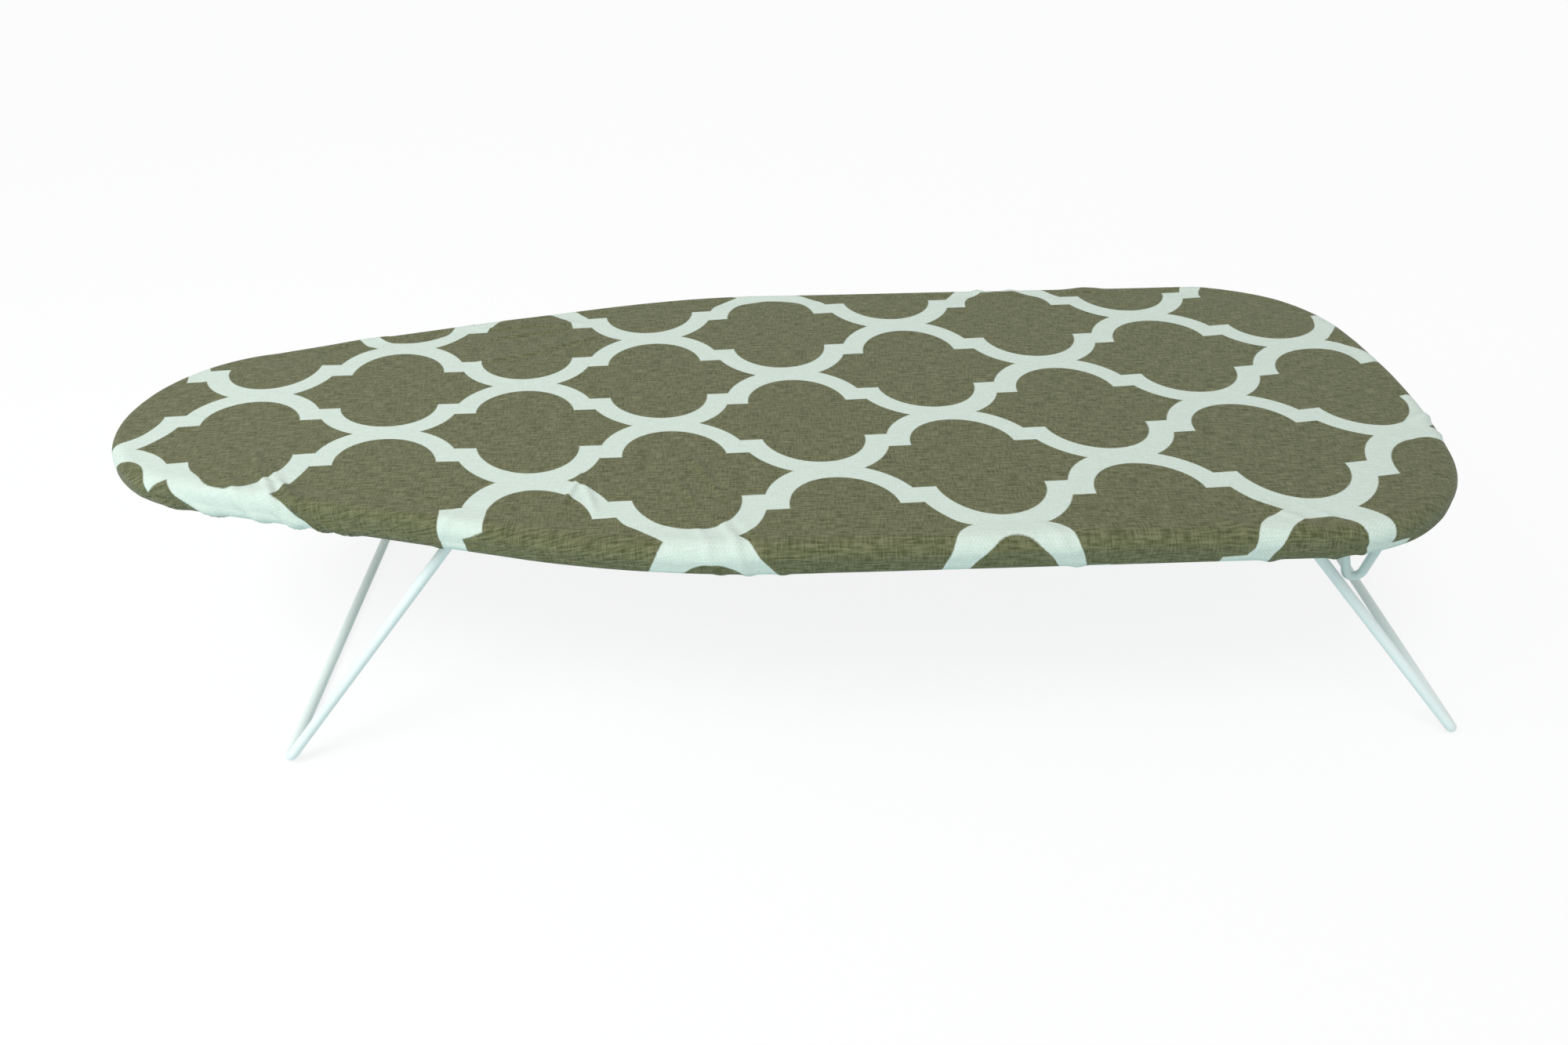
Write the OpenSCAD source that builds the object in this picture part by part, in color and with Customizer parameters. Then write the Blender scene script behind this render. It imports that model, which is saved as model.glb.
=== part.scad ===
// Tabletop ironing board: a padded board with a cotton cover on two folding wire legs.
// The nose points to -X, the wide end to +X, and the legs stand on z = 0.

/* [Board] */
// Length of the padded board over its cover
board_l = 762; // [720:1:800]
// Width of the padded board over its cover
board_w = 305; // [285:1:325]
// Height of the ironing surface above the table
board_h = 165; // [155:1:180]
// Radius of the nose
nose_r = 84; // [76:1:90]
// Angle of each straight flank of the nose to the long axis
flank_a = 15.6; // [14.5:0.1:16.5]
// Radius of the shoulders between the flanks and the sides
shoulder_r = 475; // [400:5:540]
// Angle at which the sides draw in towards the wide end
side_a = 0.5; // [0.1:0.1:1.2]
// Radius of the two corners of the wide end
corner_r = 92; // [80:1:105]
// Angle between the end of a corner and the long axis, left for the bowed end
tail_a = 10; // [8:0.5:12]

/* [Cover and pad] */
// Thickness of the cotton cover
cover_t = 1; // [0.8:0.1:1.4]
// Thickness of the foam pad
foam_t = 6; // [5:0.5:8]
// Outer radius of the cover over the pad's upper edge
edge_top_r = 7; // [5:0.5:7]
// Outer radius of the cover under the rim
edge_bottom_r = 6; // [4:0.5:7]
// How far the cover turns in under the board
under_turn = 12; // [11:0.5:14]
// Outer diameter of the hem binding
hem_d = 5; // [4.6:0.1:5.4]
// Thickness of the hem binding's cloth
hem_wall = 0.6; // [0.4:0.1:0.7]
// Diameter of the elastic inside the hem
elastic_d = 3.2; // [2.6:0.1:3.2]

/* [Frame] */
// Diameter of the rim tube
rim_d = 9; // [8:0.5:10]
// Wall of the rim tube
rim_wall = 1; // [0.8:0.1:1.5]
// Thickness of the mesh top
mesh_t = 1; // [0.8:0.1:1.4]
// Length of one mesh opening from knuckle to knuckle, along the board
mesh_cell_l = 48; // [40:1:60]
// Width of one mesh opening from strand to strand, across the board
mesh_cell_w = 20; // [18:1:26]
// Width of a mesh strand
strand_w = 3; // [2.4:0.2:4]
// Plain border of the mesh around its openings
mesh_border = 7; // [5:0.5:9]
// Thickness of the cross bars
bar_t = 1.5; // [1.2:0.1:2]
// Width of the cross bar between the folded legs
middle_bar_w = 20; // [16:1:24]

/* [Legs] */
// Diameter of the leg wire
wire_d = 6; // [5:0.5:7]
// Angle of the opened legs from the vertical
leg_splay = 40.5; // [38:0.5:43]
// How much wider each side of a leg is at the foot than at its pivot
leg_flare = 35; // [28:1:38]
// Space between the hem and the sides of the nose leg at its pivots
leg_clear = 11.5; // [9:0.5:14]
// Distance of the nose leg's pivot from the nose
nose_pivot_in = 217; // [210:1:225]
// Distance of the wide leg's pivot from the wide end
wide_pivot_in = 102; // [98:1:110]
// Depth of the pivots below the cross bars
pivot_drop = 14.2; // [13:0.1:16]
// Centreline radius of the bends at the feet
foot_bend_r = 6; // [5:1:12]
// Centreline radius of the bends at the pivots
pivot_bend_r = 7; // [6:0.5:8]
// Length of a pivot end, from the leg's corner to its tip
pivot_end_l = 26; // [24:1:30]

/* [Hinges] */
// Length of a bracket along the board
bracket_l = 20; // [18:1:22]
// Thickness of the bracket plate
bracket_t = 1.6; // [1.2:0.1:2]
// Radius of the rounded end of a bracket ear
ear_r = 6.5; // [6:0.5:8]
// Clear space between the two ears of a bracket
ear_gap = 12; // [11:0.5:13]
// Diameter of a rivet
rivet_d = 4; // [3:0.5:4]
// Diameter of a rivet head
rivet_head_d = 7; // [6:0.5:7.5]
// Height of a rivet head
rivet_head_h = 1.8; // [1.2:0.1:2.2]
// Distance between the two rivets of a bracket
rivet_pitch = 12; // [11:0.5:13]

/* [Leg stops] */
// Diameter of the stop wire
stop_d = 5; // [4:0.5:5.5]
// Centreline radius of the bend in a stop
stop_bend_r = 5; // [4:0.5:6]
// Distance from the pivots to the nose leg's stops, down its sides
nose_stop_reach = 11; // [10:0.5:13]
// How far the nose leg's stops reach out past the middle of its sides
nose_stop_over = 4; // [3:0.5:6]
// Depth of the wide end's stops below the pivots
wide_stop_drop = 37; // [33:1:40]
// Angle of the arms of the wide end's stops from the vertical
wide_stop_a = 15; // [12:0.5:16]
// How far inside the middle of the leg's sides the wide end's stops are
wide_stop_inset = 1; // [0:0.5:2]

/* [Clearances] */
// Clearance between cloth and what it covers
skin_gap = 0.3; // [0.2:0.05:0.4]
// Radial clearance of a leg in its bracket
pivot_play = 0.08; // [0.05:0.01:0.1]
// Radial clearance of a rivet in its holes
rivet_play = 0.1; // [0.05:0.05:0.2]
// Space left between parts that are welded or rest side by side
weld_gap = 0.3; // [0.2:0.05:0.4]

/* [Hidden] */
$fn = 180;

enamel = [0.87, 0.94, 0.91];
olive = [0.45, 0.45, 0.35];

// Heights, from the ironing surface down
foam_top_z = board_h - cover_t - skin_gap;
mesh_top_z = foam_top_z - foam_t;
mesh_z = mesh_top_z - mesh_t;
rim_z = mesh_z - rim_d / 2;
cover_z = mesh_z - rim_d - skin_gap - cover_t;
bar_z = mesh_z - bar_t;
base_z = bar_z - bracket_t;
pivot_z = bar_z - pivot_drop;

// Distances from the outline of the cover, negative inwards
foam_d = -cover_t - skin_gap;
rim_c = foam_d - weld_gap - rim_d / 2;
mesh_d = rim_c + 1;
bar_d = rim_c - rim_d / 2 + weld_gap;
hem_c = -under_turn - weld_gap - hem_d / 2;
hem_in = hem_c - hem_d / 2;
cover_lap = edge_top_r + 12;

// Legs: length from pivot to foot, reach along the board, and the length of the whole
leg_l = (pivot_z - wire_d / 2) / cos(leg_splay);
leg_reach = leg_l * sin(leg_splay);
foot_out = leg_reach + wire_d / 2 - wide_pivot_in;
total_l = board_l + max(0, foot_out);
nose_x = -total_l / 2;
nose_pivot_x = nose_x + nose_pivot_in;
wide_pivot_x = nose_x + board_l - wide_pivot_in;

// Outline of the cover: nose arc, flank, shoulder arc, side, corner arc and bowed end, each
// tangent to the next. The centres of the arcs lie on or beside the long axis.
function along(a) = [cos(a), sin(a)];
shoulder_n = 90 + flank_a;
side_n = 90 - side_a;
nose_c = [nose_x + nose_r, 0];
flank_l = (board_w / 2 - shoulder_r * (1 - cos(flank_a)) - nose_r * cos(flank_a)) / sin(flank_a);
shoulder_c = nose_c + (nose_r - shoulder_r) * along(shoulder_n) + flank_l * along(flank_a);
corner_0 = shoulder_c + (shoulder_r - corner_r) * along(side_n);
tail_k = tan(tail_a / 2);
side_l = (nose_x + board_l - corner_0.x - corner_r - tail_k * corner_0.y)
    / (cos(side_a) - tail_k * sin(side_a));
corner_c = corner_0 + side_l * along(-side_a);
tail_r = corner_r + corner_c.y / sin(tail_a);
tail_c = [nose_x + board_l - tail_r, 0];

// Half of the width at x, of the outline moved out by d
function half_at(x, d) =
    x < nose_c.x + (nose_r + d) * cos(shoulder_n)
        ? sqrt(max(0, pow(nose_r + d, 2) - pow(x - nose_c.x, 2)))
    : x < shoulder_c.x + (shoulder_r + d) * cos(shoulder_n)
        ? (nose_r + d) / cos(flank_a) + (x - nose_c.x) * tan(flank_a)
    : x < shoulder_c.x + (shoulder_r + d) * cos(side_n)
        ? shoulder_c.y + sqrt(pow(shoulder_r + d, 2) - pow(x - shoulder_c.x, 2))
    : x < corner_c.x + (corner_r + d) * cos(side_n)
        ? corner_c.y + (corner_r + d) / cos(side_a) - (x - corner_c.x) * tan(side_a)
    : x < corner_c.x + (corner_r + d) * cos(tail_a)
        ? corner_c.y + sqrt(pow(corner_r + d, 2) - pow(x - corner_c.x, 2))
        : sqrt(max(0, pow(tail_r + d, 2) - pow(x - tail_c.x, 2)));

// Sides of the legs, measured across the board
pivot_y = half_at(nose_pivot_x, hem_in) - leg_clear - wire_d / 2;
foot_y = pivot_y + leg_flare;
flare_k = leg_flare / (pivot_z - wire_d / 2);

// Places of the ears along a pivot, measured from the long axis
ear_out_y = pivot_y - pivot_bend_r - weld_gap;
bracket_w = ear_gap + 2 * bracket_t;
bracket_y = ear_out_y - bracket_w / 2;

// Hooks that hold the nose leg, and the width of the hinge bars, which cover their tops
hook_off = (wire_d + stop_d) / 2 + weld_gap;
hook_out = nose_stop_reach * sin(leg_splay) + hook_off * cos(leg_splay);
hook_z = pivot_z - nose_stop_reach * cos(leg_splay) + hook_off * sin(leg_splay);
hook_y = ear_out_y + weld_gap + stop_d / 2;
hook_end = pivot_y + nose_stop_reach * cos(leg_splay) * flare_k + nose_stop_over;
hinge_bar_w = 2 * (hook_out + stop_d / 2 + weld_gap);

// V stops that hold the wide end's leg, and the width of the tail bar, which fits between their arms
wide_stop_x = wide_pivot_x + wide_stop_drop * tan(leg_splay) + (stop_bend_r + hook_off) / cos(leg_splay);
wide_stop_y = pivot_y + wide_stop_drop * flare_k - wide_stop_inset;
v_rise = wide_stop_drop + pivot_drop + bar_t;
v_depth = stop_bend_r / sin(wide_stop_a);
v_half = (v_rise + v_depth) * tan(wide_stop_a);
v_spare = stop_d * sin(wide_stop_a);
tail_bar_w = 2 * (v_half - bar_t * tan(wide_stop_a) - stop_d / 2 / cos(wide_stop_a) - weld_gap);

// How far the pieces of a swept form lap into each other, and how much thinner every second one is
lap = 0.2;
slip = 0.06;

// Points of an arc about c from angle a to angle b, or only those in the middle of each step
function arc(c, r, a, b, n) = [for (i = [0:n]) c + r * along(a + (b - a) * i / n)];
function mid_arc(c, r, a, b, n) = [for (i = [0.5:n]) c + r * along(a + (b - a) * i / n)];
function reversed(p) = [for (i = [len(p) - 1:-1:0]) p[i]];

module board_area(d) {
    half = concat(
        mid_arc(nose_c, nose_r + d, 180, shoulder_n, 24),
        mid_arc(shoulder_c, shoulder_r + d, shoulder_n, side_n, 8),
        mid_arc(corner_c, corner_r + d, side_n, tail_a, 24),
        mid_arc(tail_c, tail_r + d, tail_a, 0, 4)
    );
    polygon(concat(half, [for (q = reversed(half)) [q.x, -q.y]]));
}

// Sweeps a section along the outline. Its x is the distance out from the outline, its y the height.
// Every second piece is thinner by the slip, $slim, and laps into the two beside it.
module along_outline() {
    bend(nose_c, nose_r, shoulder_n, 360 - shoulder_n, $slim = 0) children();
    bend(tail_c, tail_r, -tail_a, tail_a, lap, $slim = slip) children();
    for (side = [0, 1]) mirror([0, side, 0]) {
        run(nose_c + nose_r * along(shoulder_n), shoulder_n, flank_l, $slim = slip) children();
        bend(shoulder_c, shoulder_r, side_n, shoulder_n, $slim = 0) children();
        run(shoulder_c + shoulder_r * along(side_n), side_n, side_l, $slim = slip) children();
        bend(corner_c, corner_r, tail_a, side_n, $slim = 0) children();
    }
}

module bend(c, r, from, to, over = 0) {
    more = over / r * 180 / PI;
    translate([c.x, c.y, 0]) rotate([0, 0, from - more])
        rotate_extrude(angle = to - from + 2 * more) translate([r, 0]) children();
}

module run(start, normal, length) {
    translate([start.x, start.y, 0]) rotate([0, 0, normal]) rotate([90, 0, 0])
        translate([0, 0, -lap]) linear_extrude(length + 2 * lap) children();
}

// Round wire along a flat path of points, with a centreline radius for each inner point
function turn(u, v) = atan2(u.x * v.y - u.y * v.x, u.x * v.x + u.y * v.y);
function dir(p, i) = (p[i + 1] - p[i]) / norm(p[i + 1] - p[i]);
function setback(p, radii, i) =
    i == 0 || i == len(p) - 1 ? 0 : radii[i - 1] * tan(abs(turn(dir(p, i - 1), dir(p, i))) / 2);

module bent_wire(p, radii, d) {
    for (i = [0:len(p) - 2]) {
        u = dir(p, i);
        start = p[i] + u * setback(p, radii, i);
        straight_l = norm(p[i + 1] - p[i]) - setback(p, radii, i) - setback(p, radii, i + 1);
        translate([start.x, start.y, 0]) rotate([0, 90, atan2(u.y, u.x)])
            cylinder(d = d, h = straight_l, $fn = 48);
    }
    for (i = [1:len(p) - 2]) {
        u = dir(p, i - 1);
        v = dir(p, i);
        t = turn(u, v);
        r = radii[i - 1];
        side = sign(t);
        c = p[i] - u * setback(p, radii, i) + side * r * [-u.y, u.x];
        first = side > 0 ? [u.y, -u.x] : [-v.y, v.x];
        from = atan2(first.y, first.x);
        bend(c, r, from, from + abs(t), lap) circle(d = d - slip, $fn = 48);
    }
}

// Expanded steel top: long diamond openings in staggered rows, cut off at a plain border
module top_mesh() {
    half_l = (mesh_cell_l - strand_w * mesh_cell_l / mesh_cell_w) / 2;
    half_w = (mesh_cell_w - strand_w) / 2;
    columns = ceil(board_l / mesh_cell_l);
    rows = ceil(board_w / mesh_cell_w);
    color("gainsboro") difference() {
        translate([0, 0, mesh_z]) linear_extrude(mesh_t) board_area(mesh_d);
        translate([0, 0, mesh_z - 1]) linear_extrude(mesh_t + 2) intersection() {
            board_area(mesh_d - mesh_border);
            union()
                for (i = [-columns:columns], j = [-rows:rows]) {
                    x = i * mesh_cell_l / 2;
                    y = j * mesh_cell_w / 2;
                    if ((i + j) % 2 == 0 && abs(y) < half_at(x, mesh_d - mesh_border - half_w / 2))
                        translate([x, y]) polygon([[-half_l, 0], [0, -half_w], [half_l, 0], [0, half_w]]);
                }
        }
    }
}

// Steel tube around the board, under the edge of the mesh
module rim_frame() {
    color(enamel) translate([0, 0, rim_z]) along_outline() translate([rim_c, 0]) difference() {
        circle(d = rim_d - $slim, $fn = 48);
        circle(d = rim_d - 2 * rim_wall + $slim, $fn = 48);
    }
}

// Flat bar across the board under the mesh, its ends cut to the rim
module cross_bar(x, w) {
    color(enamel) translate([0, 0, bar_z]) linear_extrude(bar_t) intersection() {
        translate([x - w / 2, -board_w / 2]) square([w, board_w]);
        board_area(bar_d);
    }
}

module hinge_bar(x) {
    difference() {
        cross_bar(x, hinge_bar_w);
        for (side = [-1, 1]) rivet_places(x, side) cylinder(r = rivet_d / 2 + rivet_play, h = 4 * bar_t, center = true);
    }
}

module nose_cross_bar() {
    hinge_bar(nose_pivot_x);
}

module middle_cross_bar() {
    cross_bar((nose_pivot_x + wide_pivot_x) / 2, middle_bar_w);
}

module wide_cross_bar() {
    hinge_bar(wide_pivot_x);
}

module tail_cross_bar() {
    cross_bar(wide_stop_x, tail_bar_w);
}

module rivet_places(x, side) {
    for (e = [-1, 1]) translate([x + e * rivet_pitch / 2, side * bracket_y, bar_z]) children();
}

// Folded steel bracket: a base under the cross bar and two ears bored for the pivot
module hinge_bracket(x, side) {
    color(enamel) difference() {
        union() {
            translate([x - bracket_l / 2, side * bracket_y - bracket_w / 2, base_z])
                cube([bracket_l, bracket_w, bracket_t]);
            for (e = [-1, 1])
                translate([x, side * bracket_y + e * (ear_gap + bracket_t) / 2, pivot_z]) rotate([90, 0, 0])
                    linear_extrude(bracket_t, center = true) ear();
        }
        translate([x, side * bracket_y, pivot_z]) rotate([90, 0, 0])
            cylinder(r = wire_d / 2 + pivot_play, h = 2 * bracket_w, center = true);
        rivet_places(x, side) cylinder(r = rivet_d / 2 + rivet_play, h = 4 * bracket_t, center = true);
    }
}

module ear() {
    rise = pivot_drop;
    circle(r = ear_r);
    polygon([[-ear_r, 0], [ear_r, 0], [bracket_l / 2, rise - bracket_t], [bracket_l / 2, rise],
        [-bracket_l / 2, rise], [-bracket_l / 2, rise - bracket_t]]);
}

module nose_near_bracket() {
    hinge_bracket(nose_pivot_x, -1);
}

module nose_far_bracket() {
    hinge_bracket(nose_pivot_x, 1);
}

module wide_near_bracket() {
    hinge_bracket(wide_pivot_x, -1);
}

module wide_far_bracket() {
    hinge_bracket(wide_pivot_x, 1);
}

// Domed rivets through bracket and cross bar
module bracket_rivets() {
    cap_r = (pow(rivet_head_d / 2, 2) + pow(rivet_head_h, 2)) / (2 * rivet_head_h);
    color("silver") for (x = [nose_pivot_x, wide_pivot_x], side = [-1, 1]) rivet_places(x, side) {
        translate([0, 0, -bracket_t]) cylinder(d = rivet_d, h = bracket_t + bar_t, $fn = 32);
        translate([0, 0, -bracket_t]) intersection() {
            translate([0, 0, cap_r - rivet_head_h]) sphere(r = cap_r, $fn = 64);
            translate([0, 0, -rivet_head_h]) cylinder(d = rivet_head_d + 1, h = rivet_head_h);
        }
    }
}

// Hook of wire under the nose's cross bar, which the opened nose leg leans against
module nose_stop(side) {
    color(enamel) translate([nose_pivot_x - hook_out, 0, 0]) rotate([90, 0, 90])
        bent_wire([[side * hook_y, bar_z], [side * hook_y, hook_z], [side * hook_end, hook_z]], [stop_bend_r], stop_d);
}

module nose_near_stop() {
    nose_stop(-1);
}

module nose_far_stop() {
    nose_stop(1);
}

// V of wire around the tail bar, which the opened leg of the wide end leans against. The
// slanted arms are trimmed flat against the mesh.
module wide_stop(side) {
    color(enamel) difference() {
        translate([wide_stop_x, side * wide_stop_y, pivot_z - wide_stop_drop]) rotate([90, 0, 0])
            bent_wire([
                [-v_half - v_spare * tan(wide_stop_a), v_rise + v_spare],
                [0, -v_depth],
                [v_half + v_spare * tan(wide_stop_a), v_rise + v_spare]
            ], [stop_bend_r], stop_d);
        translate([wide_stop_x - board_w / 2, side * wide_stop_y - stop_d, mesh_z])
            cube([board_w, 2 * stop_d, stop_d]);
    }
}

module wide_near_stop() {
    wide_stop(-1);
}

module wide_far_stop() {
    wide_stop(1);
}

// Leg bent from one wire: pivot end, flared side, foot bar, flared side, pivot end
module leg(x, side) {
    p = [[pivot_y - pivot_end_l, 0], [pivot_y, 0], [foot_y, leg_l]];
    color(enamel) translate([x, 0, pivot_z]) rotate([0, side * (90 - leg_splay), 0]) rotate([0, 0, -90 * side])
        bent_wire(
            concat(p, [for (q = reversed(p)) [-q.x, q.y]]),
            [pivot_bend_r, foot_bend_r, foot_bend_r, pivot_bend_r],
            wire_d
        );
}

module nose_leg() {
    leg(nose_pivot_x, -1);
}

module wide_leg() {
    leg(wide_pivot_x, 1);
}

// Foam sheet on the mesh, its upper edge rounded under the cover
function foam_side(i) = concat(
    [[-cover_lap, mesh_top_z + i], [-cover_lap, foam_top_z - i]],
    arc([-edge_top_r, board_h - edge_top_r], edge_top_r + foam_d - i, 90, 0, 6),
    [[foam_d - i, mesh_top_z + i]]
);

module foam_pad() {
    color("ivory") union() {
        translate([0, 0, mesh_top_z]) linear_extrude(foam_t) board_area(-edge_top_r - 4);
        along_outline() polygon(foam_side($slim / 2));
    }
}

// Side of the cover's section, moved in by i: over the edge, down and back under the rim
function cover_side(i) = concat(
    [[-cover_lap, board_h - i]],
    arc([-edge_top_r, board_h - edge_top_r], edge_top_r - i, 90, 0, 6),
    arc([-edge_bottom_r, cover_z + edge_bottom_r], edge_bottom_r - i, 0, -90, 6),
    [[-under_turn, cover_z + i]]
);

module cotton_cover() {
    color(olive) union() {
        translate([0, 0, board_h - cover_t]) linear_extrude(cover_t) board_area(-edge_top_r - 4);
        along_outline() polygon(concat(cover_side($slim / 2), reversed(cover_side(cover_t - $slim / 2))));
    }
}

// Bound hem at the cover's inner edge, and the elastic that draws it in
module hem_binding() {
    color("beige") translate([0, 0, cover_z + hem_d / 2]) along_outline() translate([hem_c, 0]) difference() {
        circle(d = hem_d - $slim, $fn = 32);
        circle(d = hem_d - 2 * hem_wall + $slim, $fn = 32);
    }
}

module hem_elastic() {
    color("white") translate([0, 0, cover_z + hem_d / 2]) along_outline() translate([hem_c, 0])
        circle(d = elastic_d - $slim, $fn = 32);
}

top_mesh();
rim_frame();
nose_cross_bar();
middle_cross_bar();
wide_cross_bar();
tail_cross_bar();
nose_near_bracket();
nose_far_bracket();
wide_near_bracket();
wide_far_bracket();
bracket_rivets();
nose_near_stop();
nose_far_stop();
wide_near_stop();
wide_far_stop();
nose_leg();
wide_leg();
foam_pad();
cotton_cover();
hem_binding();
hem_elastic();
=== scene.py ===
# Tabletop ironing board: a padded, cotton-covered top on a powder-coated steel frame with two
# folding wire legs. Metres, nose towards -X, legs on z = 0.
import math

import bpy
import numpy as np
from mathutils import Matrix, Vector
from mathutils.geometry import delaunay_2d_cdt


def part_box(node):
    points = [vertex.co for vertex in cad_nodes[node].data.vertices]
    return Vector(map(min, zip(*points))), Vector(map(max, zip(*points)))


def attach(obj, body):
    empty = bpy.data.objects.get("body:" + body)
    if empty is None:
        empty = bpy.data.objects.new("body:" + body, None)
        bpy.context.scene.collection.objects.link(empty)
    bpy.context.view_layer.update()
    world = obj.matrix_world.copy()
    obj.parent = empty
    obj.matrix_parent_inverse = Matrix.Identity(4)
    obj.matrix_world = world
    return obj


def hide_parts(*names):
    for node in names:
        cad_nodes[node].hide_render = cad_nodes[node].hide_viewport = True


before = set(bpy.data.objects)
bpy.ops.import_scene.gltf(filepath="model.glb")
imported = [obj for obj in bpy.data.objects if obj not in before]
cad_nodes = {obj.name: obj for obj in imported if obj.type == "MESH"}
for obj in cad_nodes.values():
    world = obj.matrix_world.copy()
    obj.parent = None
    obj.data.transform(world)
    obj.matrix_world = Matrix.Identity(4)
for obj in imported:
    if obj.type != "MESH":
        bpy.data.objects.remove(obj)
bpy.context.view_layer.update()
scene = bpy.context.scene

# ---------------------------------------------------------------------------------------------
# Room. A white table in a white room, under one wide lamp overhead, a weaker one low in front
# and a small one over the nose. The camera stands 0.63 m in front, half a metre up.
# ---------------------------------------------------------------------------------------------
camera = bpy.data.objects.new("camera", bpy.data.cameras.new("camera"))
scene.collection.objects.link(camera)
camera.data.lens = 27.9
camera.data.sensor_width = 36
camera.data.clip_start = 0.01
camera.location = (0.00197, -0.6331, 0.5137)
camera.rotation_euler = (math.radians(55.272), math.radians(1.2245), math.radians(-0.733))
scene.camera = camera
scene.view_settings.view_transform = "Standard"


def feed(tree, shader, inputs):
    """Gives a shader node's inputs their values or links."""
    for name, value in inputs.items():
        if isinstance(value, bpy.types.NodeSocket):
            tree.links.new(value, shader.inputs[name])
        else:
            shader.inputs[name].default_value = value


def node(tree, kind, inputs=None, **settings):
    """Adds a shader node, sets it, and gives its inputs values or links."""
    made = tree.nodes.new("ShaderNode" + kind)
    for name, value in settings.items():
        setattr(made, name, value)
    feed(tree, made, inputs or {})
    return made


def looked_at(tree):
    """1 where the eye sees the room itself, straight or in a shine, and 0 for the light it gives."""
    ray = node(tree, "LightPath").outputs
    direct = node(tree, "Math", {0: ray["Is Camera Ray"], 1: ray["Is Glossy Ray"]}, operation="MAXIMUM")
    through = {0: direct.outputs[0], 1: ray["Is Transmission Ray"]}
    return node(tree, "Math", through, operation="MAXIMUM").outputs[0]


# The room gives this share of a plain level of light from all round, and the lamps the rest
room_share = 0.5
room = bpy.data.worlds.new("white_room")
room.use_nodes = True
scene.world = room
tree = room.node_tree
tree.nodes.clear()
level = node(tree, "MapRange", {"Value": looked_at(tree), "To Min": room_share, "To Max": 1.0})
white = node(tree, "Background", {"Color": (1, 1, 1, 1), "Strength": level.outputs[0]})
node(tree, "OutputWorld", {"Surface": white.outputs[0]})

# Each lamp's tilt, turn and width in degrees, its share of the lamps' light, and its colour
for name, tilt, turn, width, share, colour in (
    ("key_light", 34, -34, 30, 0.62, (1, 1, 1)),
    ("low_light", 60, -20, 60, 0.11, (0.7, 1, 1)),
):
    lamp = bpy.data.lights.new(name, "SUN")
    lamp.angle = math.radians(width)
    lamp.energy = share * (1 - room_share) * math.pi / math.cos(math.radians(tilt))
    lamp.color = colour
    holder = bpy.data.objects.new(name, lamp)
    holder.rotation_euler = (math.radians(tilt), 0, math.radians(turn))
    scene.collection.objects.link(holder)

# A soft light near the nose makes that end a little brighter than the far corner
lamp = bpy.data.lights.new("nose_light", "AREA")
lamp.size = 0.5
lamp.energy = 2.6
lamp.color = (0.97, 1, 1)
holder = bpy.data.objects.new("nose_light", lamp)
holder.location = (-0.62, -0.45, 0.85)
aim = Vector((-0.3, 0, 0.15)) - holder.location
holder.rotation_euler = aim.to_track_quat("-Z", "Y").to_euler()
scene.collection.objects.link(holder)

# The table runs on past all that is seen of it
reach = 8.0
corners = [(-reach, -reach, 0), (reach, -reach, 0), (reach, reach, 0), (-reach, reach, 0)]
table_sheet = bpy.data.meshes.new("table_top")
table_sheet.from_pydata(corners, [], [(0, 1, 2, 3)])
table_top = bpy.data.objects.new("table_top", table_sheet)
scene.collection.objects.link(table_top)

# White laminate. Most of what the eye sees of it glows as the room does, so the board's shadow
# stays faint. The light that it throws up on the board is dimmer and a little blue-green.
laminate = bpy.data.materials.new("white_laminate")
laminate.use_nodes = True
tree = laminate.node_tree
tree.nodes.clear()
glow_share = 0.82
glow = node(tree, "Emission", {"Color": (1, 1, 1, 1), "Strength": 1.0})
matt = node(tree, "BsdfDiffuse", {"Color": (0.98, 0.98, 0.98, 1)})
shown = node(tree, "MixShader", {0: glow_share, 1: matt.outputs[0], 2: glow.outputs[0]})
bounce = node(tree, "BsdfDiffuse", {"Color": (0.62, 0.77, 0.8, 1)})
both = node(tree, "MixShader", {0: looked_at(tree), 1: bounce.outputs[0], 2: shown.outputs[0]})
# Its underside is clear, so that the board can be looked at from below
underside = node(tree, "NewGeometry").outputs["Backfacing"]
clear = node(tree, "BsdfTransparent")
one_sided = node(tree, "MixShader", {0: underside, 1: both.outputs[0], 2: clear.outputs[0]})
node(tree, "OutputMaterial", {"Surface": one_sided.outputs[0]})
table_top.data.materials.append(laminate)

# ---------------------------------------------------------------------------------------------
# Frame. Welded mild steel: a rim tube, an expanded mesh top, four flat cross bars, and on them
# the hinge brackets and the wire stops. All of it is powder-coated white after welding.
# ---------------------------------------------------------------------------------------------
def linear(hex_colour):
    """The linear colour of an sRGB hex value."""
    parts = [int(hex_colour[i : i + 2], 16) / 255 for i in (0, 2, 4)]
    return (*[c / 12.92 if c <= 0.04045 else ((c + 0.055) / 1.055) ** 2.4 for c in parts], 1)


def finish_of(name):
    """A new material, its node tree and its surface shader."""
    made = bpy.data.materials.new(name)
    made.use_nodes = True
    return made, made.node_tree, made.node_tree.nodes["Principled BSDF"]


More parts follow.
